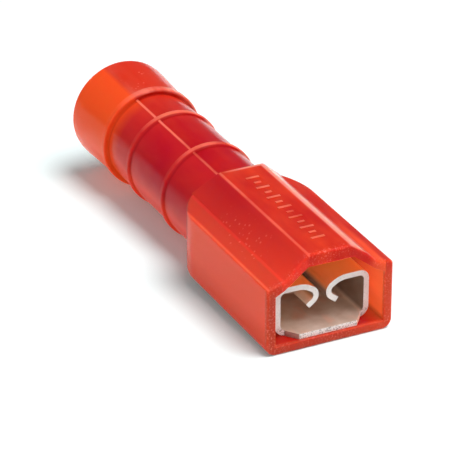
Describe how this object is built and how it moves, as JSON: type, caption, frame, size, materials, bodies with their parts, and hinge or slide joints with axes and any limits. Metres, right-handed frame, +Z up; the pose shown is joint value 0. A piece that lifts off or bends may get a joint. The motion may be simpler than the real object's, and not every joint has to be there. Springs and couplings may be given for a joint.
{
  "type": "female spade terminal",
  "caption": "Insulated female spade terminal: a rolled receptacle in a translucent moulded housing with a round, ringed grip and a round wire entry.",
  "frame": {"origin": "centre of the underside of the bounding box", "axes": "+Z up, +Y along the wire towards the round wire entry, -Y out of the mouth that takes the tab, +X across the width"},
  "size_m": [0.0072, 0.0258, 0.0063],
  "materials": {
    "housing": "translucent red moulded nylon, smooth",
    "terminal": "tin plated, semi-bright"
  },
  "bodies": {
    "root": {"housing": "housing", "terminal": "terminal"}
  },
  "joints": []
}
